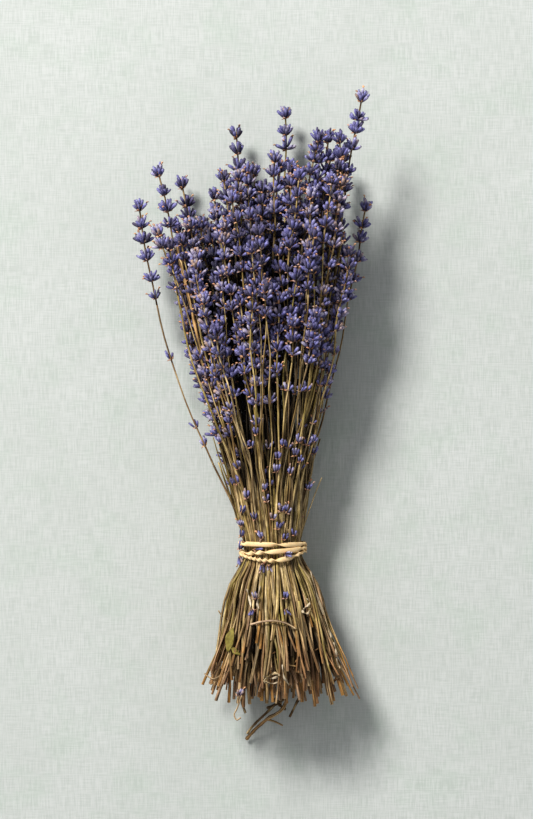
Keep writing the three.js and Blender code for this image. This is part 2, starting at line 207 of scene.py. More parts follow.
def cut_back(angle):
    """The cut ends make a blunt cone: the outer stems on top and at the sides are cut shorter"""
    return CUT_BACK_AT_SIDE * abs(cos(angle)) + CUT_BACK_ON_TOP * max(sin(angle), 0)


def fall_off(stem):
    """The mass of the flowers falls off to the left, and only the leaders stand out of it there"""
    to_left = smoothstep(-point_on(stem, stem.tip).x, *FALL_OFF_ACROSS)
    return FALL_OFF * to_left * smoothstep(stem.tip, *FALL_OFF_TIPS)


def reach_of(stem, y):
    end = stem.flower if y > 0 else stem.foot
    reach = lerp(stem.neck[0], end[0], smoothstep(abs(y), NECK_HALF_LENGTH, SPREAD_AFTER))
    to_side = lerp(BULGE_ON_TOP, 1, abs(cos(end[1])))
    below = smoothstep(-y, *BULGE_AT) * (1 - BULGE_LOST * smoothstep(-y, *BULGE_LOST_AT))
    above = BULGE_ABOVE * smoothstep(y, *ABOVE_AT) * (1 - smoothstep(y, *ABOVE_LOST_AT))
    return reach + stem.bulge * to_side * (below + above)


def depth_inside(stem, y, further=0):
    """How much painted shade a stem or head gets from where it stands: 0 at the outside and 1
    in the middle, but less at both ends, where it stands free"""
    covered = 1 - smoothstep(reach_of(stem, y) + further, FULL_SHADE_REACH, NO_SHADE_REACH)
    free_tip = FREE_TIPS * smoothstep(y, *FREE_TIPS_AT)
    return covered * (1 - (free_tip + FREE_ENDS * smoothstep(-y, *FREE_ENDS_AT)))


def turn_from(a, b):
    return atan2(sin(b - a), cos(b - a))


def directions(points):
    """The unit direction of a line at each of its points"""
    ends = [points[0], *points, points[-1]]
    return [(after - before).normalized() for before, after in zip(ends, ends[2:])]


def each(value, count):
    return value if isinstance(value, list) else [value] * count


def tube(bm, points, radii, sides=STEM_SIDES, flute=STEM_FLUTE, flats=1, spins=0, ups=UP,
         finish=0, **kept):
    """A closed tube along points. Its corners alternate with flutes, and at each point flats
    squeezes its section, spins turns it and ups says which way is up. What else is named goes to the
    vertex layer so called, as one value or with one for each point."""
    count = len(points)
    ahead = directions(points)
    flats, spins, ups = each(flats, count), each(spins, count), each(ups, count)
    rings = [0, *range(count), count - 1]
    sizes = [0, *radii, 0]
    steps = len(rings) - 1
    grid = bmesh.ops.create_grid(bm, x_segments=steps, y_segments=sides, size=1)["verts"]
    around = bm.loops.layers.uv.verify()
    layers = {bm.verts.layers.float[name]: each(value, count) for name, value in kept.items()}
    lengths = [0]
    for before, after in zip(rings, rings[1:]):
        lengths.append(lengths[-1] + (points[after] - points[before]).length)
    spots = {}
    for vert in grid:
        ring = round((vert.co.x + 1) / 2 * steps)
        corner = round((vert.co.y + 1) / 2 * sides)
        spots[vert] = (ring, corner)
        i = rings[ring]
        angle = corner * FULL_TURN / sides
        radius = sizes[ring] * (flute if corner % 2 else 1)
        wide = radius * cos(angle)
        high = radius * sin(angle) * flats[i]
        across = wide * cos(spins[i]) - high * sin(spins[i])
        rise = wide * sin(spins[i]) + high * cos(spins[i])
        side = ups[i].cross(ahead[i]).normalized()
        vert.co = points[i] + side * across + ahead[i].cross(side) * rise
        for layer, values in layers.items():
            vert[layer] = values[i]
    for face in {face for vert in grid for face in vert.link_faces}:
        face.material_index = finish
        for loop in face.loops:
            ring, corner = spots[loop.vert]
            loop[around].uv = (corner / sides, lengths[ring] * UV_STRETCH)
    bmesh.ops.remove_doubles(bm, verts=grid, dist=0.0001)


def new_bmesh():
    bm = bmesh.new()
    # One of these layers holds how much painted shade each vertex gets
    for name in ("tint", "foot", "pith", "inside"):
        bm.verts.layers.float.new(name)
    bm.loops.layers.uv.new("around")
    return bm


def stem_taper(y):
    return lerp(1, STEM_TAPER, smoothstep(y, *TAPERS))


def add_stem(bm, stem):
    """One stem from its cut end to the stalk of its head, with a pale cut face"""
    count = max(6, round((stem.top - stem.cut) / STEM_STEP))
    stations = [lerp(stem.cut, stem.top, i / count) for i in range(count + 1)]
    line = [point_on(stem, y) for y in stations]
    radii = [STEM_HALF_DIAGONAL * stem.thickness * stem_taper(y) for y in stations]
    end = line[0] + (line[0] - line[1]).normalized() * CUT_EDGE
    stations = [stem.cut, *stations]
    # Each station of a stem carries its painted shade, darker deeper in the bunch
    tube(
        bm, [end, *line], [radii[0] * PITH_SHARE, *radii],
        spins=[stem.phase + y * STEM_SPIRAL for y in stations],
        tint=stem.tint,
        foot=[1 - smoothstep(y - stem.cut, 0, stem.browned) for y in stations],
        pith=[1.0] + [0.0] * (count + 1),
        inside=[depth_inside(stem, y) for y in stations],
    )


def to_mesh(bm, name):
    mesh = bpy.data.meshes.new(name)
    bm.to_mesh(mesh)
    bm.free()
    return mesh


def smooth_mesh(bm, name):
    bmesh.ops.recalc_face_normals(bm, faces=bm.faces)
    mesh = to_mesh(bm, name)
    mesh.shade_smooth()
    return mesh


def new_object(name, data):
    made = bpy.data.objects.new(name, data)
    bpy.context.scene.collection.objects.link(made)
    return made


def finish_piece(bm, name, finishes, nodes=()):
    """Moves a shape from the tie into the frame, lays it on the surface and makes it a piece"""
    to_frame = Matrix.Translation(tie) @ Matrix.Scale(MILLIMETRE, 4)
    bmesh.ops.transform(bm, matrix=to_frame, verts=bm.verts)
    for vert in bm.verts:
        vert.co.z = max(vert.co.z, 0)
    mesh = smooth_mesh(bm, name)
    for finish in finishes:
        mesh.materials.append(finish)
    piece = new_object(name, mesh)
    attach(piece, "root")
    if nodes:
        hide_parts(*nodes)
    return piece


def feed(tree, made, inputs):
    """Gives a node its inputs, each as a value or as another node's output"""
    for name, value in inputs.items():
        if isinstance(value, bpy.types.NodeSocket):
            tree.links.new(value, made.inputs[name])
        else:
            made.inputs[name].default_value = value


def node(tree, kind, inputs, **settings):
    made = tree.nodes.new("ShaderNode" + kind)
    for name, value in settings.items():
        setattr(made, name, value)
    feed(tree, made, inputs)
    return made


def mixed(tree, share, first, second, blend="MIX"):
    """Two colours mixed: inputs 6 and 7 of the node are its colours and output 2 is the result"""
    inputs = {0: share, 6: first, 7: second}
    made = node(tree, "Mix", inputs, data_type="RGBA", blend_type=blend)
    return made.outputs[2]


def colour(red, green, blue):
    return (red, green, blue, 1)


def ramp(tree, value, stops):
    """A value made a colour, from stops that hold a position and its red, green and blue"""
    made = node(tree, "ValToRGB", {"Fac": value})
    elements = made.color_ramp.elements
    while len(elements) < len(stops):
        elements.new(1)
    for element, (position, *shade) in zip(elements, stops):
        element.position = position
        element.color = colour(*shade)
    return made.outputs["Color"]


def attribute(tree, name):
    return node(tree, "Attribute", {}, attribute_name=name).outputs["Fac"]


def arithmetic(tree, operation, first, second=0.0, clamp=False):
    inputs = {0: first, 1: second}
    return node(tree, "Math", inputs, operation=operation, use_clamp=clamp).outputs[0]


def scaled(tree, value, factor, offset=0.0):
    return arithmetic(tree, "ADD", arithmetic(tree, "MULTIPLY", value, factor), offset)


def new_group(name, numbers):
    """A node group that puts out a mask, with a vector and some numbers going in"""
    group = bpy.data.node_groups.new(name, "ShaderNodeTree")
    group.interface.new_socket("Vector", in_out="INPUT", socket_type="NodeSocketVector")
    for label, value in numbers.items():
        made = group.interface.new_socket(label, in_out="INPUT", socket_type="NodeSocketFloat")
        made.default_value = value
    group.interface.new_socket("Mask", in_out="OUTPUT", socket_type="NodeSocketFloat")
    return group, group.nodes.new("NodeGroupInput"), group.nodes.new("NodeGroupOutput")


# Long fibres: noise that is drawn out along a stem
fibres, entering, leaving = new_group("Fibres", {"Across": 14.0, "Along": 2.0, "Shift": 0.0})
apart = node(fibres, "CombineXYZ", {
    "X": entering.outputs["Across"], "Y": entering.outputs["Along"], "Z": 1.0,
})
drawn = node(fibres, "VectorMath", {0: entering.outputs["Vector"], 1: apart.outputs[0]},
             operation="MULTIPLY")
lifted = node(fibres, "CombineXYZ", {"Z": entering.outputs["Shift"]})
moved = node(fibres, "VectorMath", {0: drawn.outputs[0], 1: lifted.outputs[0]}, operation="ADD")
noise = node(fibres, "TexNoise", {"Vector": moved.outputs[0], "Scale": 1.0, "Detail": 4.0})
fibres.links.new(noise.outputs["Fac"], leaving.inputs["Mask"])

# Blotches: soft patches with a firmer edge, from two sizes of noise
blotches, entering, leaving = new_group("Blotches", {"Scale": 100.0, "Contrast": 2.0})
noise = node(blotches, "TexNoise", {
    "Vector": entering.outputs["Vector"], "Scale": entering.outputs["Scale"], "Detail": 5.0,
    "Roughness": 0.62,
})
centred = arithmetic(blotches, "SUBTRACT", noise.outputs["Fac"], 0.5)
strong = arithmetic(blotches, "MULTIPLY", centred, entering.outputs["Contrast"])
mask = arithmetic(blotches, "ADD", strong, 0.5, clamp=True)
blotches.links.new(mask, leaving.inputs["Mask"])


def effect(tree, group, vector, **numbers):
    return node(tree, "Group", {"Vector": vector, **numbers}, node_tree=group).outputs["Mask"]


def patchy(tree, scale, contrast):
    return effect(tree, blotches, on_object(tree), Scale=scale, Contrast=contrast)


def fibrous(tree, across, along, shift=0.0):
    return effect(tree, fibres, on_tube(tree), Across=across, Along=along, Shift=shift)


def new_finish(name, numbers):
    """A material with its own Principled shader, whose plain numbers are set on its sockets"""
    made = bpy.data.materials.new(name)
    made.use_nodes = True
    shader = made.node_tree.nodes["Principled BSDF"]
    feed(made.node_tree, shader, numbers)
    return made, made.node_tree, shader


def on_object(tree):
    return node(tree, "TexCoord", {}).outputs["Object"]


def on_tube(tree):
    """Round a tube as x, and along it as y"""
    return node(tree, "UVMap", {}, uv_map="around").outputs["UV"]


# Painted shade: a colour mixed towards a dark one, as far as the vertex's painted shade says
def darker_inside(tree, shown, share, dark):
    inside = mixed(tree, share, shown, dark)
    return mixed(tree, attribute(tree, "inside"), shown, inside)


def finish_shader(tree, shader, shown, roughness, height, strength, depth):
    """Gives a shader its colour and roughness, and a bump of that strength and depth"""
    bump = node(tree, "Bump", {"Height": height, "Strength": strength, "Distance": depth})
    feed(tree, shader, {
        "Base Color": shown, "Roughness": roughness, "Normal": bump.outputs["Normal"],
    })


# The near-black colour of the painted shade on stems and bracts
PAINTED_SHADE_COLOUR = colour(0.014, 0.008, 0.005)


def stem_finish(name, shades, browned, pith_shade):
    """Dried stem: each stem has its own shade, with dark fibres, pale and dark stretches and a
    browner foot"""
    made, tree, shader = new_finish(name, {"Specular IOR Level": 0.35})
    tint = attribute(tree, "tint")
    grain = fibrous(tree, across=9, along=1.3, shift=scaled(tree, tint, 90))
    stretches = fibrous(tree, across=0.6, along=1.1, shift=scaled(tree, tint, 37))
    patches = patchy(tree, scale=95, contrast=3.2)
    spots = patchy(tree, scale=620, contrast=3.5)
    base = ramp(tree, tint, shades)
    paler = mixed(tree, 0.65, base, colour(0.78, 0.63, 0.37))
    darker = mixed(tree, 0.65, base, colour(0.13, 0.075, 0.03))
    light_part = ramp(tree, stretches, [(0.5, 0, 0, 0), (0.62, 1, 1, 1)])
    dark_part = ramp(tree, stretches, [(0.36, 1, 1, 1), (0.46, 0, 0, 0)])
    changed = mixed(tree, light_part, mixed(tree, dark_part, base, darker), paler)
    washed = mixed(tree, scaled(tree, patches, 0.45), changed, colour(0.14, 0.09, 0.035))
    own = arithmetic(tree, "FRACT", scaled(tree, tint, 7))
    old = mixed(tree, scaled(tree, attribute(tree, "foot"), 0.92), washed,
                ramp(tree, own, browned))
    dark = ramp(tree, grain, [(0.38, 0.12, 0.085, 0.05), (0.57, 1.5, 1.42, 1.28)])
    fibred = mixed(tree, 1.0, old, dark, "MULTIPLY")
    flecked = mixed(tree, scaled(tree, spots, 0.3), fibred, colour(0.1, 0.06, 0.025))
    ended = mixed(tree, attribute(tree, "pith"), flecked, pith_shade)
    # Painted shade: stems deeper in the bunch are darkened almost to black
    shown = darker_inside(tree, ended, 0.96, PAINTED_SHADE_COLOUR)
    roughness = scaled(tree, grain, 0.35, 0.45)
    finish_shader(tree, shader, shown, roughness, grain, 0.9, 0.00035)
    return made


dried_stem = stem_finish(
    "dried_stem",
    [(0.0, 0.38, 0.28, 0.1), (0.14, 0.24, 0.21, 0.055), (0.28, 0.5, 0.4, 0.18),
     (0.42, 0.17, 0.155, 0.035), (0.56, 0.36, 0.25, 0.13), (0.7, 0.45, 0.39, 0.25),
     (0.84, 0.18, 0.1, 0.05), (1.0, 0.31, 0.27, 0.085)],
    [(0.0, 0.46, 0.25, 0.13), (0.2, 0.4, 0.26, 0.17), (0.38, 0.74, 0.4, 0.115),
     (0.5, 0.26, 0.13, 0.055), (0.66, 0.56, 0.38, 0.27), (0.82, 0.36, 0.25, 0.13),
     (1.0, 0.68, 0.51, 0.33)],
    colour(0.74, 0.58, 0.33),
)

stems = []
per_layer = BUNDLES * STEMS_PER_BUNDLE // len(LAYERS)
for bundle in range(BUNDLES):
    for i in range(STEMS_PER_BUNDLE):
        middle = (bundle + 0.5) * FULL_TURN / BUNDLES
        aside = i - (STEMS_PER_BUNDLE - 1) / 2
        layer = i % len(LAYERS)
        foot_layer = (i + bundle) % len(LAYERS)
        order = (len(stems) // len(LAYERS) * TIP_SHUFFLE) % per_layer
        spread_angle = middle + aside * SPREAD_STEP
        flower_reach = LAYERS[layer] + draw(-PLACE_SPREAD, PLACE_SPREAD)
        flower_angle = spread_angle + TWIST / 2 + draw(-ANGLE_SPREAD, ANGLE_SPREAD)
        foot_reach = LAYERS[foot_layer] + draw(-PLACE_SPREAD, PLACE_SPREAD)
        foot_angle = spread_angle - TWIST / 2 + draw(-ANGLE_SPREAD, ANGLE_SPREAD)
        height = (order + draw(0.1, 0.9)) / per_layer
        stems.append(SimpleNamespace(
            bundle=bundle,
            neck=[1 - between(0, NECK_UNEVEN), middle + aside * NECK_STEP],
            flower=[flower_reach, flower_angle],
            foot=[foot_reach, foot_angle],
            tip=lerp(LOWEST_TIPS[layer], HIGHEST_TIPS[layer], height),
            cut=-draw(*FOOT_LENGTHS),
            phase=draw(0, FULL_TURN),
            whorls=WHORLS, pitch=1, bow=0, sway=1, nod=0, ripple=0,
            bulge=between(0, 0.14),
            thickness=between(*OUTER_THICKNESS),
            tint=chance.random(),
            browned=between(8, 42),
        ))

for x, y, up, bow, nod in LEADERS:
    across = share_across(x, y)
    angle = atan2(up, across)
    free = [stem for stem in stems if stem.whorls == WHORLS]
    nearest = min(free, key=lambda stem: abs(turn_from(stem.flower[1], angle)))
    nearest.flower[0] = hypot(across, up)
    nearest.flower[1] += turn_from(nearest.flower[1], angle)
    nearest.tip = y
    nearest.bow = bow
    nearest.nod = nod
    nearest.whorls = LEADER_WHORLS
for stem in stems:
    if stem.whorls == WHORLS:
        stem.tip -= fall_off(stem)
        stem.nod = between(-1.3, 1.3)
    stem.top = top_under_whorls(stem)
    stem.cut *= 1 - cut_back(stem.foot[1])
    stem.ripple = between(0.1, 0.6)

stem_pieces = []
for bundle in range(BUNDLES):
    bm = new_bmesh()
    for stem in stems:
        if stem.bundle == bundle:
            add_stem(bm, stem)
    stem_pieces.append(finish_piece(bm, f"outer_stems_{bundle + 1}", [dried_stem],
                                    [f"stem_bundle_{bundle + 1}"]))

# Inner stems: the stems that stand in the middle of the bunch, twenty-four of which end among the
# flowers, and one woody twig with a fork that was gathered with them and reaches past the cut ends.
# The band holds all of them.
INNER_STEMS = 24
INNER_REACH = 0.46
INNER_TOPS = [72, 120]
INNER_THICKNESS = [0.62, 0.85]
TWIG_FORK = Vector((-4, -105, 9))
TWIG = [
    place(0.2, radians(-60), -20),
    place(0.35, radians(-65), -55),
    place(0.42, radians(-75), -93),
    TWIG_FORK,
    Vector((-11, -111.5, 5.4)),
    Vector((-16.6, -118, 2.5)),
]
TWIG_BRANCH = [TWIG_FORK, Vector((1.2, -106.4, 8.2)), Vector((6, -109, 6))]
TWIG_RADIUS = 0.95
BRANCH_RADII = [0.7, 0.45]
KNOT_SIZE = 0.35  # of the radius
KNOT_PACE = 1.9

woody_stem = stem_finish(
    "woody_stem",
    [(0.0, 0.2, 0.12, 0.05), (0.3, 0.32, 0.21, 0.09), (0.6, 0.11, 0.07, 0.035),
     (1.0, 0.36, 0.23, 0.1)],
    [(0.0, 0.46, 0.24, 0.11), (0.5, 0.32, 0.19, 0.11), (1.0, 0.56, 0.33, 0.14)],
    colour(0.66, 0.5, 0.3),
)


def smooth_line(points, steps):
    """A line through all of the points, with that many steps between two of them"""
    line = []
    for i in range(len(points) - 1):
        before = points[max(i - 1, 0)]
        after = points[min(i + 2, len(points) - 1)]
        start, end = points[i], points[i + 1]
        for step in range(steps):
            t = step / steps
            line.append(0.5 * (
                2 * start + (end - before) * t
                + (2 * before - 5 * start + 4 * end - after) * t ** 2
                + (3 * start - before - 3 * end + after) * t ** 3
            ))
    return [*line, points[-1]]


def knotted(radius, count):
    """Radii along a twig, with a swelling at each old leaf"""
    return [radius * (1 + KNOT_SIZE * max(0, sin(i * KNOT_PACE)) ** 3) for i in range(count)]


inner_stems = []
for i in range(INNER_STEMS):
    reach = INNER_REACH * sqrt((i + 1) / INNER_STEMS)
    angle = i * GOLDEN_TURN
    inner_stems.append(SimpleNamespace(
        neck=[reach, angle],
        flower=[reach, angle + TWIST / 2],
        foot=[reach, angle - TWIST / 2],
        cut=-draw(*FOOT_LENGTHS),
        top=draw(*INNER_TOPS),
        tip=INNER_TOPS[1],
        phase=draw(0, FULL_TURN),
        bow=0, sway=1, nod=0, bulge=0,
        ripple=between(0.1, 0.5),
        thickness=between(*INNER_THICKNESS),
        tint=chance.random(),
        browned=between(20, 70),
    ))

bm = new_bmesh()
for stem in inner_stems:
    add_stem(bm, stem)
twig_line = smooth_line(TWIG, 5)
tube(bm, twig_line, knotted(TWIG_RADIUS, len(twig_line)), tint=0.95, foot=0.3)
branch_line = smooth_line(TWIG_BRANCH, 4)
branch_radii = [lerp(*BRANCH_RADII, i / len(branch_line)) for i in range(len(branch_line))]
tube(bm, branch_line, branch_radii, tint=0.1, foot=0.2)
finish_piece(bm, "inner_stems_and_twig", [woody_stem], ["inner_stems"])

# Flower heads: a thin stalk on each stem with whorls of ribbed violet calyces, small tan bracts under
# each whorl and here and there a withered flower. They are grown, and dried hanging, so the calyces
# have closed to blunt ribbed tubes that stand out like a crown.
CALYX, BRACT, STALK = range(3)  # places of the finishes on a head
CALYX_LENGTH = 6.2
CALYX_RADIUS = 0.95
CALYX_SIDES = 6
CALYX_RIBS = 12
CALYX_FORM = [  # share of the length, and of the radius
    (0.0, 0.38), (0.28, 0.78), (0.66, 1.0), (0.9, 0.86), (0.985, 0.45),
]
CALYX_KINDS = [(0.1, 1.0), (0.6, 0.92), (-0.4, 1.08)]  # how far the tip bends over, and the girth
BRACT_LINE = [Vector((0, 0, 0)), Vector((0.3, 0, 1.8)), Vector((1.2, 0, 3.5))]
BRACT_RADII = [0.5, 1.3, 0.15]
WITHERED_LINE = [Vector((0, 0, 0)), Vector((0, 0, 1.2)), Vector((0.2, 0, 2)), Vector((0.8, 0, 2.6))]
WITHERED_RADII = [0.45, 0.55, 1.05, 0.65]
RINGS = [(56, 0.2), (28, 1.4)]  # degrees that the outer and inner calyces lean out, and their rise
LEAN_SPREAD = 16
CALYX_OUT = 0.75  # of its foot from the middle of the stalk
CALYX_UNEVEN = 0.28  # of the room between two of them
CALYX_WIDTHS = [0.82, 1.1]
CALYX_LENGTHS = [0.8, 1.12]
CALYX_SHADES = 0.2  # how far their shades spread about the head's own
BRACTS = 4
BRACT_LEAN = [46, 90]
BRACT_OUT = 0.45
BRACT_UNEVEN = 0.3
BRACT_LENGTHS = [0.58, 0.9]
WITHERED_SHARE = 0.14  # of the calyces, which still hold their flower
WITHERED_AT = 0.85  # of the calyx's length
WITHERED_SIZES = (0.9, 0.9)
STALK_RADIUS = 0.55
STALK_END = 4  # under the tip
HEAD_SHADES = [0.18, 0.74]  # where the heads lie on the scale of the calyces' shades
WHORL_SIZES = [0.86, 1.14]
LOWEST_SIZES = [0.72, 0.95]  # of a head's lowest whorl
WHORL_SHIFT = 1.6
OPENINGS = [0.7, 1.12]  # of the way that the calyces lean out
STEPS_DOWN = [10, 24, 40, 58]  # at which a whorl may sit lower on the stem
WHORL_BELOW_SHARE = 0.24
WHORL_OUT = 0.09  # of the outer reach, that a whorl stands further out than its stem
LEAST_HEIGHT = 0.8  # of a calyx over the surface
FORWARD = Vector((1, 0, 0))

calyx_finish, tree, shader = new_finish("calyx", {
    "Sheen Weight": 0.16, "Sheen Roughness": 0.5, "Sheen Tint": colour(0.8, 0.82, 1.0),
    "Specular IOR Level": 0.25,
})
patches = patchy(tree, scale=1100, contrast=3)
areas = patchy(tree, scale=40, contrast=3)
own_shade = ramp(tree, attribute(tree, "tint"), [
    (0.0, 0.028, 0.02, 0.06), (0.2, 0.078, 0.068, 0.2), (0.4, 0.155, 0.155, 0.49),
    (0.6, 0.19, 0.195, 0.52), (0.78, 0.4, 0.38, 0.62), (0.9, 0.36, 0.3, 0.44),
    (1.0, 0.38, 0.27, 0.24),
])
# Along a calyx: brownish foot, painted shade at the base, painted highlight near the tip, dark mouth
lengthwise_shade_and_highlight = ramp(tree, attribute(tree, "foot"), [
    (0.0, 0.4, 0.22, 0.13), (0.22, 0.26, 0.21, 0.26), (0.6, 1.14, 1.12, 1.12),
    (0.86, 2.2, 2.14, 1.6), (1.0, 0.3, 0.25, 0.3),
])
shaded = mixed(tree, 1.0, own_shade, lengthwise_shade_and_highlight, "MULTIPLY")
around_calyx = node(tree, "SeparateXYZ", {0: on_tube(tree)}).outputs["X"]
ribs = arithmetic(tree, "SINE", scaled(tree, around_calyx, CALYX_RIBS * FULL_TURN))
ribbed = scaled(tree, ribs, 0.5, 0.5)
# Painted shade in the furrows between the ribs, and a painted highlight on the ridges
rib_shade_and_highlight = ramp(tree, ribbed, [(0.0, 0.2, 0.18, 0.24), (0.7, 1.36, 1.35, 1.26)])
rib_shaded = mixed(tree, 1.0, shaded, rib_shade_and_highlight, "MULTIPLY")
dusty = mixed(tree, scaled(tree, patches, 0.22), rib_shaded, colour(0.56, 0.52, 0.6))
mottled = mixed(tree, scaled(tree, areas, 0.3), dusty, colour(0.05, 0.04, 0.12))
# Painted shade: calyces deeper in the bunch are darkened almost to black
shown = darker_inside(tree, mottled, 0.96, colour(0.01, 0.007, 0.014))
height = arithmetic(tree, "ADD", ribbed, patches)
finish_shader(tree, shader, shown, scaled(tree, patches, 0.25, 0.6), height, 0.8, 0.0002)

bract_finish, tree, shader = new_finish("bract", {"Specular IOR Level": 0.25})
tint = attribute(tree, "tint")
grain = fibrous(tree, across=12, along=14, shift=tint)
patches = patchy(tree, scale=700, contrast=3)
papery = ramp(tree, tint, [
    (0.0, 0.6, 0.3, 0.15), (0.3, 0.78, 0.48, 0.26), (0.5, 0.4, 0.19, 0.1),
    (0.7, 0.66, 0.48, 0.4), (0.85, 0.3, 0.16, 0.11), (1.0, 0.5, 0.38, 0.26),
])
veined = mixed(tree, scaled(tree, grain, 0.45), papery, colour(0.3, 0.13, 0.06))
flushed = mixed(tree, scaled(tree, patches, 0.2), veined, colour(0.34, 0.2, 0.26))
# Painted shade: bracts deeper in the bunch are darkened
shown = darker_inside(tree, flushed, 0.88, PAINTED_SHADE_COLOUR)
finish_shader(tree, shader, shown, scaled(tree, grain, 0.3, 0.6), grain, 0.6, 0.0002)


def master(name, finish, line, radii, **form):
    """A small closed shape that stands on the origin along z, to be copied many times"""
    bm = new_bmesh()
    tube(bm, line, radii, ups=FORWARD, finish=finish, **form)
    return smooth_mesh(bm, name)


calyces = []
for bend, girth in CALYX_KINDS:
    line = [Vector((0, bend * share ** 2, CALYX_LENGTH * share)) for share, _ in CALYX_FORM]
    radii = [CALYX_RADIUS * girth * share for _, share in CALYX_FORM]
    calyces.append(master("calyx", CALYX, line, radii, sides=CALYX_SIDES, flute=1,
                          foot=[share for share, _ in CALYX_FORM]))
bract = master("bract", BRACT, BRACT_LINE, BRACT_RADII, sides=4, flute=1, flats=0.3)
withered = master("withered", BRACT, WITHERED_LINE, WITHERED_RADII, sides=5, flute=0.8, flats=0.6)


def add_copy(bm, shape, base, ahead, spin, sizes, tint, inside):
    """A copy of a small shape that stands on a base point and points ahead"""
    if base.z < LEAST_HEIGHT or (base + ahead * CALYX_LENGTH).z < LEAST_HEIGHT / 2:
        return
    turned = ahead.to_track_quat("Z", "Y").to_matrix().to_4x4()
    stretched = Matrix.Diagonal((sizes[0], sizes[0], sizes[1], 1))
    there = Matrix.Translation(base) @ turned @ Matrix.Rotation(spin, 4, "Z") @ stretched
    before = len(bm.verts)
    bm.from_mesh(shape)
    copied = bm.verts[before:]
    own_tint = bm.verts.layers.float["tint"]
    # Each copy carries the painted shade of the place where it stands
    own_inside = bm.verts.layers.float["inside"]
    for vert in copied:
        vert[own_tint] = tint
        vert[own_inside] = inside
    bmesh.ops.transform(bm, matrix=there, verts=copied)


def add_whorl(bm, centre, ahead, counts, size, fade, opening, inside=0.0):
    """A ring of outer calyces and a crown of inner ones, with bracts under them"""
    side = UP.cross(ahead).normalized()
    lift = ahead.cross(side)
    start = between(0, FULL_TURN)

    def leaning(azimuth, lean):
        """The way out from the stalk, and the way that leans so far towards it"""
        out = side * cos(azimuth) + lift * sin(azimuth)
        return out, ahead * cos(lean) + out * sin(lean)

    for count, (lean, rise) in zip(counts, RINGS):
        for i in range(count):
            aside = between(-CALYX_UNEVEN, CALYX_UNEVEN)
            azimuth = start + (i + aside) * FULL_TURN / count
            own_lean = lean + between(-LEAN_SPREAD, LEAN_SPREAD)
            out, pointing = leaning(azimuth, opening * radians(own_lean))
            base = centre + out * CALYX_OUT + ahead * rise * size
            tint = min(max(chance.gauss(fade, CALYX_SHADES), 0), 1)
            width = size * between(*CALYX_WIDTHS)
            length = size * between(*CALYX_LENGTHS)
            add_copy(bm, chance.choice(calyces), base, pointing, between(0, FULL_TURN),
                     (width, length), tint, inside)
            if chance.random() < WITHERED_SHARE:
                mouth = base + pointing * CALYX_LENGTH * length * WITHERED_AT
                add_copy(bm, withered, mouth, pointing, azimuth, WITHERED_SIZES, chance.random(),
                         inside)
        start += GOLDEN_TURN
    for i in range(BRACTS):
        azimuth = start + (i + between(-BRACT_UNEVEN, BRACT_UNEVEN)) * FULL_TURN / BRACTS
        out, pointing = leaning(azimuth, radians(between(*BRACT_LEAN)))
        add_copy(bm, bract, centre + out * BRACT_OUT, pointing, between(-0.5, 0.5),
                 (size, size * between(*BRACT_LENGTHS)), chance.random(), inside)


def add_whorl_on(bm, stem, y, counts, size, fade, opening):
    centre = point_on(stem, y)
    ahead = (point_on(stem, y + 1) - centre).normalized()
    # A whorl gets the painted shade of its place, a little further out than its stem
    add_whorl(bm, centre, ahead, counts, size, fade, opening, depth_inside(stem, y, WHORL_OUT))


def add_head(bm, stem, outer, inner):
    """A stem's stalk, its whorls of about so many outer and inner calyces, and those further down"""
    fade = between(*HEAD_SHADES)
    for whorl in range(stem.whorls, 0, -1):
        y = stem.tip - depth_of_whorl(whorl) * stem.pitch + between(-WHORL_SHIFT, WHORL_SHIFT)
        lowest = whorl == stem.whorls
        size = between(*(LOWEST_SIZES if lowest else WHORL_SIZES))
        fewer = chance.randint(1, 3) if lowest else chance.randint(-1, 1)
        add_whorl_on(bm, stem, y, (outer - fewer, inner - fewer // 2), size,
                     fade + between(-0.1, 0.1), between(*OPENINGS))
    top = stem.tip - TOP_CLUSTER
    add_whorl_on(bm, stem, top + 1.2, (7, 4), between(0.92, 1.05), fade, 0.66)
    add_whorl_on(bm, stem, top + 3.4, (3, 1), 0.86, fade, 0.45)
    for step in STEPS_DOWN:
        if chance.random() < WHORL_BELOW_SHARE:
            counts_below = (chance.randint(2, 4), chance.randint(0, 2))
            add_whorl_on(bm, stem, stem.top - step - between(0, 10), counts_below,
                         between(0.6, 0.85), fade, 0.6)
    foot_radius = STEM_HALF_DIAGONAL * stem.thickness * stem_taper(stem.top)
    count = round((stem.tip - stem.top) / 6)
    line = [point_on(stem, lerp(stem.top, stem.tip - STALK_END, i / count)) for i in range(count + 1)]
    radii = [lerp(foot_radius, STALK_RADIUS, smoothstep(i, 0, 3)) for i in range(count + 1)]
    # The stalk gets the painted shade of its tip
    tube(bm, line, radii, sides=6, flute=0.85, finish=STALK, tint=stem.tint,
         inside=depth_inside(stem, stem.tip))


HEAD_FINISHES = [calyx_finish, bract_finish, dried_stem]
for i, stem in enumerate(stems):
    bm = new_bmesh()
    add_head(bm, stem, 8, 5)
    number = f"{i + 1:02d}"
    finish_piece(bm, f"lavender_head_{number}", HEAD_FINISHES,
                 [f"flower_head_{number}"])

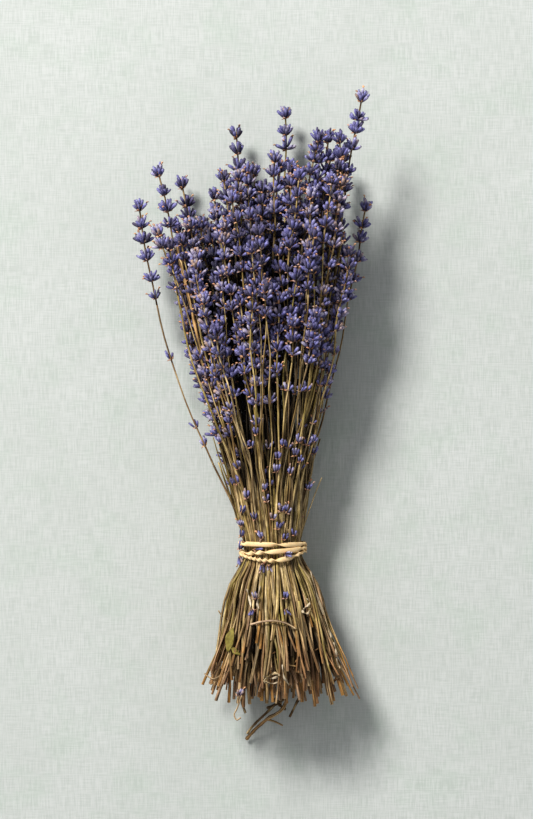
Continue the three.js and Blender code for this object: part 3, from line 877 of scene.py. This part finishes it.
# Packed stems: the other dried stems, which fill the neck between the outer ones, are held by the
# band like them and carry the heads between theirs. Each one with a head goes to the emptiest place
# near its side of the bunch, some end inside it, and thin or short ones lie on its cut ends.
PACKED = 81
COVERING = 41  # of them, which stand on the upper side
BARE = 56
SHORT = 40
STUBS = 44
THIN = 16
OVERLYING = 16
OVERLYING_REACH = [1.1, 1.22]
OVERLYING_TIPS = [136, 200]
PACKED_NECK_REACH = 0.9
PACKED_TIPS = [124, 257]
PACKED_NOD = 3.2  # how far most of their heads nod sideways
MOST_NOD = 7
PACKED_HIGHEST = 67
MASS_LEFT = -57  # of the full heads, past which only leaders stand
MASS_RIGHT = 46
MASS_LEFT_TIPS = 200  # the highest there
MASS_MIDDLE = -26
MASS_MIDDLE_TIPS = 240
MASS_HIGHEST = [18, 28]  # from the middle's highest tips to the highest of all
MASS_RIGHT_LOWEST = 164
MASS_LOWEST = [-30, 4]  # from the lowest tips of all to the lowest on the right
HEAD_LENGTH = 44
CANDIDATES = 60
PACKED_GROUPS = 8


def head_points(stem):
    return [point_on(stem, stem.tip - STALK_END - HEAD_LENGTH * i / 4) for i in range(5)]


def fits_mass(top, tip):
    """The heads make one dense mass, lower on the left, where single leaders stand out of it"""
    highest = lerp(MASS_LEFT_TIPS, MASS_MIDDLE_TIPS, smoothstep(top.x, MASS_LEFT, MASS_MIDDLE))
    highest = lerp(highest, PACKED_TIPS[1], smoothstep(top.x, *MASS_HIGHEST))
    lowest = lerp(PACKED_TIPS[0], MASS_RIGHT_LOWEST, smoothstep(top.x, *MASS_LOWEST))
    return top.z < PACKED_HIGHEST and MASS_LEFT < top.x < MASS_RIGHT and lowest < tip < highest


def new_packed_stem(angle, reach):
    foot_reach = min(reach * between(0.75, 1.25), between(0.84, 0.99))
    foot_angle = angle + between(-0.6, 0.4)
    return SimpleNamespace(
        neck=[min(reach, PACKED_NECK_REACH), angle],
        foot=[foot_reach, foot_angle],
        cut=-between(62, 98) * (1 - foot_reach * cut_back(foot_angle)),
        phase=between(0, FULL_TURN),
        whorls=chance.choice([4, 5, 5, 6]),
        pitch=between(0.74, 1.02),
        bow=0,
        nod=min(max(chance.gauss(0, PACKED_NOD), -MOST_NOD), MOST_NOD),
        sway=between(1, 3.4),
        bulge=between(0, 0.44) * reach,
        ripple=between(0.2, 1),
        thickness=between(0.43, 0.7),
        tint=chance.random(),
        browned=between(6, 46),
    )


taken = [point for stem in stems for point in head_points(stem)]
packed = []
for i in range(PACKED):
    covering = i < COVERING
    if covering:
        angle = radians(between(-8, 188))
        stem = new_packed_stem(angle, between(0.6, 1))
    else:
        angle = between(0, FULL_TURN)
        stem = new_packed_stem(angle, sqrt(chance.random()))
    nearby = KDTree(len(taken))
    for number, point in enumerate(taken):
        nearby.insert(point, number)
    nearby.balance()
    best = -1
    for _ in range(CANDIDATES):
        reach = between(0.84, 1.08) if covering else between(0.3, 1)
        stem.flower = [reach, angle + TWIST / 2 + between(-0.5, 0.5)]
        stem.tip = between(*PACKED_TIPS)
        points = head_points(stem)
        room = min(nearby.find(point)[2] for point in points[::2])
        if room > best and fits_mass(points[0], stem.tip):
            best = room
            chosen = (stem.flower, stem.tip, points)
    stem.flower, stem.tip, points = chosen
    stem.top = top_under_whorls(stem)
    taken.extend(points)
    packed.append(stem)

# One low head leans out of the mass on the right
leaning = new_packed_stem(0.05, 0.9)
leaning.flower = [1.13, 0.04]
leaning.tip = 117
leaning.whorls = 3
leaning.top = top_under_whorls(leaning)
packed.append(leaning)

# Some straw-coloured stems with short heads lie over the others
for i in range(OVERLYING):
    stem = new_packed_stem(radians(lerp(35, 145, (i + chance.random()) / OVERLYING)), 1)
    stem.flower = [between(*OVERLYING_REACH), stem.neck[1] + between(-0.25, 0.25)]
    stem.tip = between(*OVERLYING_TIPS)
    stem.whorls = chance.choice([2, 3])
    stem.tint = chance.choice([0.28, 0.5, 0.68, 0.98])
    stem.top = top_under_whorls(stem)
    packed.append(stem)

bare = []
for i in range(BARE):
    stem = new_packed_stem(i * GOLDEN_TURN, sqrt((i + 0.5) / BARE))
    stem.flower = [between(0.3, 1.02), stem.neck[1] + between(-0.5, 0.6)]
    stem.top = between(50, 112)
    bare.append(stem)
for i in range(SHORT):
    stem = new_packed_stem(radians(lerp(8, 172, (i + chance.random()) / SHORT)), 1)
    stem.foot = [between(0.86, 1), stem.neck[1] + between(-0.5, 0.5)]
    stem.cut = -between(48, 84) * (1 - cut_back(stem.foot[1]))
    stem.browned = between(12, 50)
    stem.flower = [0.6, stem.neck[1]]
    stem.top = between(14, 40)
    bare.append(stem)
for i in range(STUBS):
    stem = new_packed_stem(radians(lerp(0, 180, (i + chance.random()) / STUBS)), 0.8)
    stem.foot = [between(0.25, 0.82), stem.neck[1]]
    stem.cut = -between(80, 94)
    stem.thickness = between(0.66, 0.9)
    stem.browned = between(30, 70)
    stem.top = -between(22, 40)
    bare.append(stem)
for i in range(THIN):
    stem = new_packed_stem(radians(chance.choice([4, 10, 18, 30, 150, 165, 175, 90])), 1)
    stem.foot = [between(0.98, 1.07), stem.neck[1] + between(-0.2, 0.2)]
    stem.cut = -between(66, 92)
    stem.thickness = between(0.3, 0.45)
    stem.sway = between(2, 4)
    stem.flower = [1, stem.neck[1]]
    stem.top = between(20, 90)
    bare.append(stem)
for stem in bare:
    stem.tip = stem.top

bm = new_bmesh()
for stem in [*packed, *bare]:
    add_stem(bm, stem)
stem_pieces.append(finish_piece(bm, "packed_stems", [dried_stem]))

for group in range(PACKED_GROUPS):
    whole = new_bmesh()
    for stem in packed[group::PACKED_GROUPS]:
        bm = new_bmesh()
        add_head(bm, stem, 7, 4)
        head = to_mesh(bm, "head")
        whole.from_mesh(head)
        bpy.data.meshes.remove(head)
    finish_piece(whole, f"packed_heads_{group + 1}", HEAD_FINISHES)

# Rubber band: one natural rubber band wound three times round the neck. The second turn crosses the
# first from the right, and the third sags in front and is rolled up like a rope on the left. It is
# cut from pale tan sheet rubber, twisted in places, and stretched over the bunch with no knot.
BAND_WIDTH = 3.1
BAND_THICKNESS = 1.0
BAND_GAP = 0.6
BAND_STEPS = 240
TWISTED_FLAT = 0.34
TWIST_SOFTNESS = 8  # degrees over which a twist begins and ends
STRANDS = [  # station, slant, sag and ride, and twists: two angles in degrees, and half turns
    (4.9, -0.3, 0, 0, [(4, 34, 2), (58, 100, 1), (140, 178, 2)]),
    (0.6, 1.5, 0, 0.3, [(8, 44, 2), (84, 160, 3)]),
    (0, 0.8, 4.8, 0.15, [(6, 62, 3), (70, 176, 8)]),
]

rubber, tree, shader = new_finish("rubber", {
    "Subsurface Weight": 0.1, "Subsurface Radius": (0.002, 0.0012, 0.0006),
    "Specular IOR Level": 0.4,
})
scuffs = patchy(tree, scale=260, contrast=2.4)
grain = fibrous(tree, across=5, along=1.2)
cream = mixed(tree, scuffs, colour(0.72, 0.52, 0.27), colour(0.84, 0.66, 0.4))
drawn_out = mixed(tree, scaled(tree, grain, 0.45), cream, colour(0.55, 0.34, 0.15))
finish_shader(tree, shader, drawn_out, scaled(tree, scuffs, 0.2, 0.42), grain, 0.6, 0.0003)

bm = new_bmesh()
for station, slant, sag, ride, twists in STRANDS:
    off_stems = STEM_HALF_DIAGONAL + BAND_GAP + ride + BAND_THICKNESS / 2
    line, ups, spins, flats = [], [], [], []
    for i in range(BAND_STEPS + 1):
        degrees = 360 * i / BAND_STEPS
        angle = radians(degrees)
        along = station + slant * cos(angle) - sag * max(sin(angle), 0) ** 2
        point = place(1 + off_stems / NECK_HALF_DEPTH, angle, along)
        spin, twisted = 0, 0
        for start, end, half_turns in twists:
            spin += pi * half_turns * smoothstep(degrees, start, end)
            begun = smoothstep(degrees, start, start + TWIST_SOFTNESS)
            twisted += begun * smoothstep(-degrees, -end, TWIST_SOFTNESS - end)
        line.append(point)
        ups.append((point - place(0, 0, along)).normalized())
        spins.append(spin)
        flats.append(lerp(BAND_THICKNESS / BAND_WIDTH, TWISTED_FLAT, twisted))
    tube(bm, line, [BAND_WIDTH / 2] * len(line), flute=0.92, flats=flats, spins=spins, ups=ups,
         tint=0.0)
finish_piece(bm, "wound_band", [rubber], ["rubber_band"])

# Dry leaf: one small yellow-green leaf that was caught on the stems near their cut ends. It is folded
# along its midrib, has curled as it dried, and lies loose on the stems.
ABOVE_STEMS = STEM_HALF_DIAGONAL + 2 * SWAY_UP + 0.35
MOST_ACROSS = 0.98
FEELERS = [(0, 0), (1.3, 0), (-1.3, 0), (0, 1.3), (0, -1.3)]
SKY = 200
LEAF_RISE = 0.9
LEAF_THICKNESS = 0.3
LEAF_FOLD = 0.42
LEAF_CURL = 1.3
LEAF_FACING = Vector((-0.3, 0, 0.95))
LEAF_RUFFLE = 0.55
LEAF_BLADES = [  # foot, tip and half width of the leaf, and of a torn half that hangs from its foot
    ((-27.4, -60), (-25, -45.5), 2.7),
    ((-26, -57), (-20, -62), 1.6),
]


def over_ring(x, y, height):
    """The point over x and y that is so high over the ring of outer stems"""
    across = min(max(share_across(x, y), -MOST_ACROSS), MOST_ACROSS)
    point = place(1, acos(across), y)
    return Vector((x, y, point.z + height))


corners, polygons = [], []
for piece in stem_pieces:
    first = len(corners)
    corners.extend((vert.co - tie) / MILLIMETRE for vert in piece.data.vertices)
    polygons.extend([first + i for i in face.vertices] for face in piece.data.polygons)
stem_surface = BVHTree.FromPolygons(corners, polygons)


def on_stems(x, y, height):
    """The point over x and y that is so high over the stems, or over the ring where there are none"""
    felt = [stem_surface.ray_cast(Vector((x + dx, y + dy, SKY)), -UP)[0] for dx, dy in FEELERS]
    heights = [point.z for point in felt if point]
    if not heights:
        return over_ring(x, y, height)
    return Vector((x, y, max(heights) + height))


leaf_finish, tree, shader = new_finish("leaf", {
    "Specular IOR Level": 0.3, "Subsurface Weight": 0.05,
})
patches = patchy(tree, scale=420, contrast=3)
veins = fibrous(tree, across=26, along=3)
green = mixed(tree, patches, colour(0.13, 0.105, 0.018), colour(0.36, 0.3, 0.065))
veined = mixed(tree, scaled(tree, veins, 0.8), green, colour(0.15, 0.115, 0.03))
finish_shader(tree, shader, veined, scaled(tree, veins, 0.3, 0.5), veins, 0.7, 0.0003)

bm = new_bmesh()
for foot_at, tip_at, half_width in LEAF_BLADES:
    foot = on_stems(*foot_at, LEAF_RISE)
    midrib = on_stems(*tip_at, LEAF_RISE) - foot
    ahead = midrib.normalized()
    side = ahead.cross(LEAF_FACING).normalized()
    face = side.cross(ahead)
    grid = bmesh.ops.create_grid(bm, x_segments=8, y_segments=14, size=1, calc_uvs=True)["verts"]
    for vert in grid:
        across, along = vert.co.x, (vert.co.y + 1) / 2
        half = half_width * max(sin(pi * along) ** 0.8, 0.08)
        ruffle = LEAF_RUFFLE * across * sin(11 * along + 2 * across)
        rise = LEAF_FOLD * abs(across) * half - LEAF_CURL * (along - 0.5) ** 2 * 2 + ruffle
        vert.co = foot + side * across * half + ahead * along * midrib.length + face * rise
bmesh.ops.solidify(bm, geom=bm.faces[:], thickness=LEAF_THICKNESS)
finish_piece(bm, "small_dry_leaf", [leaf_finish], ["dry_leaf"])

# Loose stem: one thin pinkish straw stem that arches over the cut ends, with a small swelling at
# each old leaf. It was carried along with the bunch, and only rests on the stems.
LOOSE_STEM = [(-14, -43.5), (-7, -41.5), (1, -40.8), (8, -42.5), (14, -45.8)]
LOOSE_RADIUS = 0.62

straw = stem_finish(
    "straw",
    [(0.0, 0.56, 0.4, 0.3), (0.5, 0.66, 0.6, 0.5), (0.9, 0.5, 0.42, 0.26),
     (1.0, 0.56, 0.36, 0.17)],
    [(0.0, 0.5, 0.34, 0.22), (1.0, 0.6, 0.52, 0.42)],
    colour(0.7, 0.6, 0.45),
)
loose_line = smooth_line([over_ring(x, y, ABOVE_STEMS + 0.7) for x, y in LOOSE_STEM], 5)
bm = new_bmesh()
tube(bm, loose_line, knotted(LOOSE_RADIUS, len(loose_line)), tint=0.12)
finish_piece(bm, "arched_straw", [straw], ["loose_stem"])

# Stray bits: pale curled leaves, forked straws, hooked tendrils, dark twigs and splinters of woody
# stem, and loose buds by the band and below the heads. Each broke off the bunch, and lies on the
# stems or is stuck between them.
BIT_RISE = 0.9  # of its middle above the stems that it lies on
BUD_RISE = 1.2
BUD_ON_BAND = 2.5
FORKED_RISE = 6
FORKED_RADIUS = 0.95
HOOK_RISE = -1
HOOK_RADIUS = 0.45
DARK_TWIG_RADIUS = 0.72
CURLED_LEAVES = [
    [(20.5, -28), (22.5, -31), (19.5, -33.5), (18.2, -36), (21, -37), (23, -34)],
    [(-6, -74), (-1, -76), (4, -73.5), (0, -73), (-5, -77.5), (0, -79), (4.5, -77)],
    [(5.5, -67), (6.5, -74), (9, -79), (11, -84), (14, -90)],
    [(37, -55), (38.5, -60), (39, -66), (41, -71)],
    [(23, -12), (27.5, -28), (33, -44), (35.5, -52)],
    [(-8, -20), (-9.5, -30), (-8.5, -34)],
    [(-16, -22), (-14.5, -27), (-13.5, -33)],
]
HOOKS = [
    [(-27, -41), (-31, -39.5), (-33.5, -36)],
    [(-31, -74), (-36, -77), (-40, -76), (-42, -74.5)],
    [(-19, -86), (-21.5, -93), (-23.5, -97.5), (-22, -100.5), (-19.5, -99)],
]
DARK_TWIGS = [
    [(20, -84), (15, -94), (10.3, -103.5)],
    [(-4, -98), (2, -95.5), (8.5, -91.5)],
    [(0, -92), (4, -96), (8, -99)],
    [(-20, -86), (-19, -95), (-17, -101)],
    [(9, -88), (-2, -99), (-12, -108.5), (-16, -114)],
]
FORKED_STRAW = [
    [(-43, 118), (-49, 146), (-54, 168), (-56.5, 178), (-61.5, 184)],
    [(-56, 174), (-57.5, 182), (-58, 186)],
]
LOOSE_BUDS = [  # with the way that they point: 1 to the flowers, -1 to the cut ends, 0 along the band
    (-10.5, -28, 4, 1), (-12, -34, 3, -1), (7.5, -27.5, 4, 1), (7.5, -34, 3, -1), (-21, -87, 4, 1),
    (-20.5, 1.5, 5, 1), (-20.2, -2.5, 4, -1), (-19.5, 9, 4, 1), (-19.3, 16, 5, 1), (-19.5, 24, 4, 1),
    (-6.5, 8.6, 3, 1), (6.4, 7.8, 4, 1), (3, 14, 4, 1), (13, 10, 3, 1), (0, 20, 4, 1), (8, 24, 3, 1),
    (-3.1, -7.6, 2, -1), (-6.3, -6.6, 3, -1), (7.2, -0.8, 4, 0), (-11.5, 1.2, 3, 0),
]
BUDS_BELOW_HEADS = [
    (-32, 67, 5), (-21, 51, 3), (-22, 42, 3), (-13, 64, 4), (-10, 72, 4),
    (3, 57, 5), (6, 65, 5), (2, 49, 4), (13.5, 59, 4), (15.5, 67, 5), (10.5, 48, 4), (24.5, 67, 7),
    (24.5, 60, 6), (-5, 38, 4), (5, 25, 4), (-11, 20, 4), (-4, 31, 3), (21, 38, 4), (-16, 33, 4),
]
BUDS_ON_LEFT_STEM = [118, 76, 65]
SPLINTERS = 90


def lay(points, height, lies_on=on_stems):
    """A smooth line over the bunch"""
    return smooth_line([lies_on(x, y, height) for x, y in points], 5)


def add_loose_buds(bm, x, y, rise, ahead, count):
    add_whorl(bm, on_stems(x, y, rise), ahead.normalized(), (count - 1, 1),
              between(0.65, 0.85), between(0.3, 0.8), 0.3)


bm = new_bmesh()
for points in CURLED_LEAVES:
    line = lay(points, BIT_RISE)
    for i, point in enumerate(line):
        point.z += 0.6 * sin(i * 1.3)
    count = len(line)
    radii = [sin(pi * (i + 1.2) / (count + 1.4)) ** 0.6 for i in range(count)]
    tube(bm, line, radii, flute=0.9, flats=0.3, spins=[i * 0.45 for i in range(count)],
         tint=0.5)
for points in HOOKS:
    line = lay(points, HOOK_RISE, over_ring)
    tube(bm, line, [HOOK_RADIUS] * len(line), tint=0.9, foot=0.6)
for points in FORKED_STRAW:
    line = lay(points, FORKED_RISE, over_ring)
    tube(bm, line, knotted(FORKED_RADIUS, len(line)), tint=1.0)
finish_piece(bm, "curled_leaves_and_straws", [straw])

bm = new_bmesh()
for points in DARK_TWIGS:
    line = smooth_line([Vector((x, y, 8 + 0.1 * abs(x))) for x, y in points], 4)
    tube(bm, line, knotted(DARK_TWIG_RADIUS, len(line)), tint=0.6)
for i in range(SPLINTERS):
    angle = between(-0.3, pi + 0.3)
    y = between(-90, -66) * (1 - cut_back(angle))
    middle = place(between(0.3, 0.88), angle, y)
    along = Vector((between(-1, 1), between(-1, -0.1), between(-0.3, 0.3)))
    along = along.normalized() * between(3, 8)
    bow = Vector((between(-1.5, 1.5), 0, between(0, 1.5)))
    line = smooth_line([middle - along / 2, middle + bow, middle + along / 2], 4)
    flat = chance.choice([0.3, 1])
    radius = between(0.25, 0.6) if flat == 1 else between(0.5, 0.95)
    tube(bm, line, [radius] * len(line), sides=6, flats=flat, spins=between(0, 3),
         tint=chance.random(), foot=chance.random())
finish_piece(bm, "twigs_and_splinters", [woody_stem])

bm = new_bmesh()
for x, y, count, way in LOOSE_BUDS:
    ahead = Vector((between(-0.6, 0.6) if way else 1, way, 0.15))
    add_loose_buds(bm, x, y, BUD_RISE if way else BUD_ON_BAND, ahead, count)
for x, y, count in BUDS_BELOW_HEADS:
    ahead = Vector((FLOWER_END[0] * x / NECK_HALF_WIDTH, 1, 0.1))
    add_loose_buds(bm, x, y, BUD_RISE, ahead, count)
left_stem = min(stems, key=lambda stem: stem.bow)
for y in BUDS_ON_LEFT_STEM:
    add_whorl_on(bm, left_stem, y, (3, 1), 0.8, 0.5, 0.4)
finish_piece(bm, "loose_buds", [calyx_finish, bract_finish])

# Surface, light and camera: a plain pale surface that the bunch lies on, one soft lamp from the upper
# left as high as the shadows say, the room's own light, and a camera that looks straight down.
FLOOR_HALF = 4.0  # metres, like the lamp's distance and diameter
PIXEL = 0.615  # millimetres, at the height of the tie
PHOTO_WIDTH = 533
PHOTO_HEIGHT = 819
TIE_PIXEL = (273, 551.5)
CAMERA_DISTANCE = 2000
SENSOR = 36
LIGHT_TRAVEL = Vector((0.64, -1.05, -1))
LAMP_DISTANCE = 3.8
LAMP_DIAMETER = 1.0
LAMP_POWER = 184
LAMP_COLOUR = (1.0, 0.985, 0.955)
ROOM_COLOUR = colour(0.97, 0.985, 1.0)
ROOM_STRENGTH = 0.425

bm = bmesh.new()
bmesh.ops.create_grid(bm, x_segments=8, y_segments=8, size=FLOOR_HALF)
floor = new_object("floor", to_mesh(bm, "floor"))
plaster, tree, shader = new_finish("plaster", {})
place_on = on_object(tree)
clouds = patchy(tree, scale=11, contrast=1.6)
stains = patchy(tree, scale=28, contrast=3.5)
specks = patchy(tree, scale=420, contrast=1.5)
warp = effect(tree, fibres, place_on, Across=1500, Along=90, Shift=0.0)
weft = effect(tree, fibres, place_on, Across=90, Along=1500, Shift=5.0)
weave = arithmetic(tree, "ADD", scaled(tree, warp, 0.58), scaled(tree, weft, 0.42))
hollows = ramp(tree, weave, [(0.4, 1, 1, 1), (0.58, 0, 0, 0)])
pale = mixed(tree, clouds, colour(0.48, 0.5, 0.48), colour(0.56, 0.575, 0.565))
stain = ramp(tree, stains, [(0.5, 0, 0, 0), (1, 1, 1, 1)])
rubbed = arithmetic(tree, "MULTIPLY", stain, scaled(tree, hollows, 0.7, 0.3))
stained = mixed(tree, scaled(tree, rubbed, 0.55), pale, colour(0.4, 0.49, 0.41))
# Painted shade in the hollows of the weave
weave_shaded = mixed(tree, scaled(tree, hollows, 0.72), stained, colour(0.4, 0.43, 0.405))
grainy = mixed(tree, scaled(tree, specks, 0.2), weave_shaded, colour(0.42, 0.45, 0.42))
finish_shader(tree, shader, grainy, 0.9, weave, 0.3, 0.0004)
floor.data.materials.append(plaster)

lamp_data = bpy.data.lights.new("lamp", "AREA")
lamp_data.shape = "DISK"
lamp_data.size = LAMP_DIAMETER
lamp_data.energy = LAMP_POWER
lamp_data.color = LAMP_COLOUR
lamp = new_object("lamp", lamp_data)
lamp.location = tie - LIGHT_TRAVEL.normalized() * LAMP_DISTANCE
lamp.rotation_euler = LIGHT_TRAVEL.to_track_quat("-Z", "Y").to_euler()

world = bpy.data.worlds.new("room")
world.use_nodes = True
room_light = {"Color": ROOM_COLOUR, "Strength": ROOM_STRENGTH}
feed(world.node_tree, world.node_tree.nodes["Background"], room_light)
scene = bpy.context.scene
scene.world = world
scene.view_settings.view_transform = "Standard"
scene.view_settings.look = "Medium High Contrast"

camera_data = bpy.data.cameras.new("camera")
camera_data.sensor_width = SENSOR
camera_data.lens = CAMERA_DISTANCE * SENSOR / (PHOTO_HEIGHT * PIXEL)
camera_data.clip_end = 100
camera = new_object("camera", camera_data)
centre = Vector((
    (PHOTO_WIDTH / 2 - TIE_PIXEL[0]) * PIXEL,
    (TIE_PIXEL[1] - PHOTO_HEIGHT / 2) * PIXEL,
    AXIS_HEIGHT + CAMERA_DISTANCE,
))
camera.location = tie + centre * MILLIMETRE
bpy.context.scene.camera = camera
